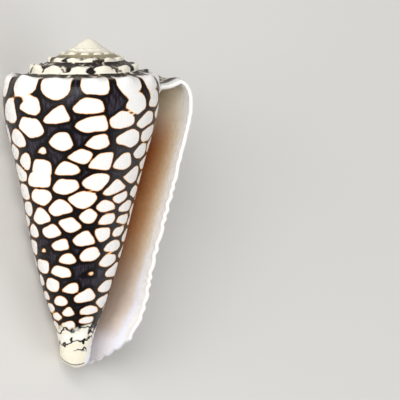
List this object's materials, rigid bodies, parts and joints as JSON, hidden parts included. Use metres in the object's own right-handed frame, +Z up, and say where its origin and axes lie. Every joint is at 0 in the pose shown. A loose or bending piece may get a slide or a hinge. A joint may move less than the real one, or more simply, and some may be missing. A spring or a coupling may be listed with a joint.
{
  "type": "cone shell",
  "caption": "Marbled cone shell with a low knobbed spire, white rounded patches on brown-black and a long narrow aperture, lying on its back.",
  "frame": {"origin": "under the middle of the shell, on the surface it lies on", "axes": "+Y along the shell from the narrow siphonal end towards the spire, +Z up, with the aperture facing up and towards -X, +X towards the outer lip"},
  "size_m": [0.0434, 0.0778, 0.0401],
  "materials": {
    "shell": "glossy natural shell: white rounded-triangle patches in a brown-black net with thin rust edges, worn cream apex, tan to white inside"
  },
  "bodies": {
    "root": {"shell": "shell"}
  },
  "joints": []
}
